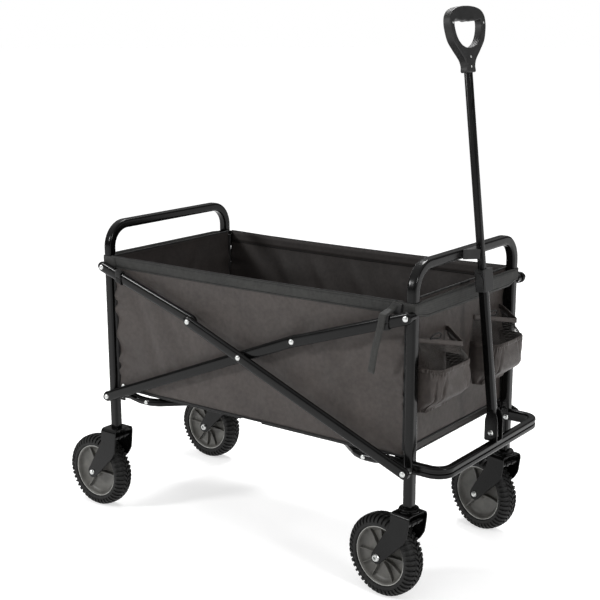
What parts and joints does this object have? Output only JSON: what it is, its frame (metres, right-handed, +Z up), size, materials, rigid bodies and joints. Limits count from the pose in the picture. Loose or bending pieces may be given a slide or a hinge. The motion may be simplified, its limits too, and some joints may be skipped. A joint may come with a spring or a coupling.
{
  "type": "folding camp wagon",
  "caption": "Folding camp wagon: black tube frame with scissor sides, fabric tub with cup pockets, swivel casters and a telescoping pull handle.",
  "frame": {"origin": "on the ground, under the middle of the wagon's length and on its middle plane", "axes": "+X forward to the handle end, +Y to the wagon's left, +Z up"},
  "size_m": [1.0317, 0.4953, 1.1545],
  "materials": {
    "frame_paint": "gloss black powder coat on steel tube",
    "zinc_hardware": "bright zinc-plated rivets, bolts and axles",
    "black_plastic": "fine-textured moulded black plastic",
    "hub_plastic": "moulded grey plastic",
    "tyre_rubber": "moulded black rubber with block tread",
    "tub_fabric": "coated charcoal polyester weave"
  },
  "bodies": {
    "rear_frame": {"rear_frame": "frame_paint", "rear_cross_tube": "frame_paint", "rear_panel": "tub_fabric", "side_panel_right": "tub_fabric", "side_panel_left": "tub_fabric", "lower_rivet_rear_right": "zinc_hardware", "lower_rivet_rear_left": "zinc_hardware", "fork_rear_right": "frame_paint", "fork_rear_left": "frame_paint", "axle_rear_right": "zinc_hardware", "axle_rear_left": "zinc_hardware"},
    "rising_bar_right": {"rising_bar_right": "frame_paint", "crossing_rivet_right": "zinc_hardware"},
    "falling_bar_right": {"falling_bar_right": "frame_paint"},
    "front_link_right": {"front_link_right": "frame_paint"},
    "rear_link_right": {"rear_link_right": "frame_paint"},
    "rising_bar_left": {"rising_bar_left": "frame_paint", "crossing_rivet_left": "zinc_hardware"},
    "falling_bar_left": {"falling_bar_left": "frame_paint"},
    "front_link_left": {"front_link_left": "frame_paint"},
    "rear_link_left": {"rear_link_left": "frame_paint"},
    "front_frame": {"front_frame": "frame_paint", "front_bumper": "frame_paint", "front_panel": "tub_fabric", "cup_pocket_right": "tub_fabric", "cup_pocket_left": "tub_fabric", "lower_rivet_front_right": "zinc_hardware", "lower_rivet_front_left": "zinc_hardware", "handle_yoke": "black_plastic", "yoke_bolt": "zinc_hardware", "handle_clip": "black_plastic", "caster_race_right": "frame_paint", "caster_race_left": "frame_paint"},
    "floor_rear": {"floor_bar_rear_right": "frame_paint", "floor_bar_rear_left": "frame_paint", "floor_board_rear": "tub_fabric"},
    "floor_front": {"floor_bar_front_right": "frame_paint", "floor_bar_front_left": "frame_paint", "floor_board_front": "tub_fabric"},
    "floor_hub": {"floor_hub": "black_plastic"},
    "caster_right": {"fork_front_right": "frame_paint", "axle_front_right": "zinc_hardware"},
    "wheel_front_right": {"tyre_front_right": "tyre_rubber", "wheel_hub_front_right": "hub_plastic"},
    "wheel_rear_right": {"tyre_rear_right": "tyre_rubber", "wheel_hub_rear_right": "hub_plastic"},
    "caster_left": {"fork_front_left": "frame_paint", "axle_front_left": "zinc_hardware"},
    "wheel_front_left": {"tyre_front_left": "tyre_rubber", "wheel_hub_front_left": "hub_plastic"},
    "wheel_rear_left": {"tyre_rear_left": "tyre_rubber", "wheel_hub_rear_left": "hub_plastic"},
    "handle": {"handle_lower_tube": "frame_paint", "latch_sleeve": "black_plastic"},
    "handle_top": {"handle_upper_tube": "frame_paint", "handle_grip": "black_plastic"},
    "latch_button": {"latch_button": "black_plastic"}
  },
  "joints": [
    {"name": "fold", "type": "hinge", "parent": "rear_frame", "child": "rising_bar_right", "pos_m": [-0.3742, -0.2204, 0.2811], "axis": [0, -1, 0], "range_deg": [0, 55], "deforming": ["side_panel_right", "side_panel_left"]},
    {"name": "rising_bar_turn_left", "type": "hinge", "parent": "rear_frame", "child": "rising_bar_left", "pos_m": [-0.3742, 0.2204, 0.2811], "axis": [0, -1, 0], "range_deg": [-1, 56]},
    {"name": "crossing_turn_right", "type": "hinge", "parent": "rising_bar_right", "child": "falling_bar_right", "pos_m": [0.0308, -0.232, 0.4448], "axis": [0, -1, 0], "range_deg": [-112, 2]},
    {"name": "front_link_turn_right", "type": "hinge", "parent": "rising_bar_right", "child": "front_link_right", "pos_m": [0.1704, -0.232, 0.50123], "axis": [0, -1, 0], "range_deg": [-152, 2]},
    {"name": "rear_link_turn_right", "type": "hinge", "parent": "falling_bar_right", "child": "rear_link_right", "pos_m": [-0.1088, -0.2204, 0.50123], "axis": [0, -1, 0], "range_deg": [-2, 152]},
    {"name": "crossing_turn_left", "type": "hinge", "parent": "rising_bar_left", "child": "falling_bar_left", "pos_m": [0.0308, 0.232, 0.4448], "axis": [0, -1, 0], "range_deg": [-112, 2]},
    {"name": "front_link_turn_left", "type": "hinge", "parent": "rising_bar_left", "child": "front_link_left", "pos_m": [0.1704, 0.232, 0.50123], "axis": [0, -1, 0], "range_deg": [-152, 2]},
    {"name": "rear_link_turn_left", "type": "hinge", "parent": "falling_bar_left", "child": "rear_link_left", "pos_m": [-0.1088, 0.2204, 0.50123], "axis": [0, -1, 0], "range_deg": [-2, 152]},
    {"name": "front_frame_turn", "type": "hinge", "parent": "falling_bar_right", "child": "front_frame", "pos_m": [0.4358, -0.232, 0.2811], "axis": [0, -1, 0], "range_deg": [-1, 56]},
    {"name": "floor_rear_turn", "type": "hinge", "parent": "rear_frame", "child": "floor_rear", "pos_m": [-0.3392, 0, 0.2885], "axis": [0, -1, 0], "range_deg": [-1, 90]},
    {"name": "floor_front_turn", "type": "hinge", "parent": "front_frame", "child": "floor_front", "pos_m": [0.4008, 0, 0.2885], "axis": [0, -1, 0], "range_deg": [-90, 1]},
    {"name": "floor_hub_turn", "type": "hinge", "parent": "floor_rear", "child": "floor_hub", "pos_m": [0.0308, 0, 0.2835], "axis": [0, -1, 0], "range_deg": [-90, 1]},
    {"name": "caster_swivel_right", "type": "hinge", "parent": "front_frame", "child": "caster_right", "pos_m": [0.4308, -0.2014, 0.19], "axis": [0, 0, 1], "continuous": true},
    {"name": "caster_swivel_left", "type": "hinge", "parent": "front_frame", "child": "caster_left", "pos_m": [0.4308, 0.2014, 0.19], "axis": [0, 0, 1], "continuous": true},
    {"name": "wheel_spin_front_right", "type": "hinge", "parent": "caster_right", "child": "wheel_front_right", "pos_m": [0.37386, -0.1934, 0.08573], "axis": [0.1392, 0.9903, 0], "continuous": true},
    {"name": "wheel_spin_rear_right", "type": "hinge", "parent": "rear_frame", "child": "wheel_rear_right", "pos_m": [-0.4267, -0.2014, 0.08573], "axis": [0, 1, 0], "continuous": true},
    {"name": "wheel_spin_front_left", "type": "hinge", "parent": "caster_left", "child": "wheel_front_left", "pos_m": [0.37501, 0.21531, 0.08573], "axis": [0.2419, 0.9703, 0], "continuous": true},
    {"name": "wheel_spin_rear_left", "type": "hinge", "parent": "rear_frame", "child": "wheel_rear_left", "pos_m": [-0.4267, 0.2014, 0.08573], "axis": [0, 1, 0], "continuous": true},
    {"name": "handle_pitch", "type": "hinge", "parent": "front_frame", "child": "handle", "pos_m": [0.5048, 0, 0.3165], "axis": [0, 1, 0], "range_deg": [0, 104]},
    {"name": "handle_telescope", "type": "slide", "parent": "handle", "child": "handle_top", "axis": [-0.1149, 0, 0.9934], "range_m": [-0.215, 0]},
    {"name": "latch_press", "type": "slide", "parent": "handle", "child": "latch_button", "axis": [0, 1, 0], "range_m": [0, 0.0022], "stiffness_N_per_m": 600, "springref_m": -0.001}
  ],
  "couplings": [
    {"joint": "rising_bar_turn_left", "follows": "fold", "ratio": 1},
    {"joint": "crossing_turn_right", "follows": "fold", "ratio": -2},
    {"joint": "front_link_turn_right", "follows": "fold", "ratio": -2.716},
    {"joint": "rear_link_turn_right", "follows": "fold", "ratio": 2.716},
    {"joint": "crossing_turn_left", "follows": "fold", "ratio": -2},
    {"joint": "front_link_turn_left", "follows": "fold", "ratio": -2.716},
    {"joint": "rear_link_turn_left", "follows": "fold", "ratio": 2.716},
    {"joint": "front_frame_turn", "follows": "fold", "ratio": 1},
    {"joint": "floor_rear_turn", "follows": "fold", "ratio": 1.6},
    {"joint": "floor_front_turn", "follows": "fold", "ratio": -1.6},
    {"joint": "floor_hub_turn", "follows": "fold", "ratio": -1.6}
  ]
}
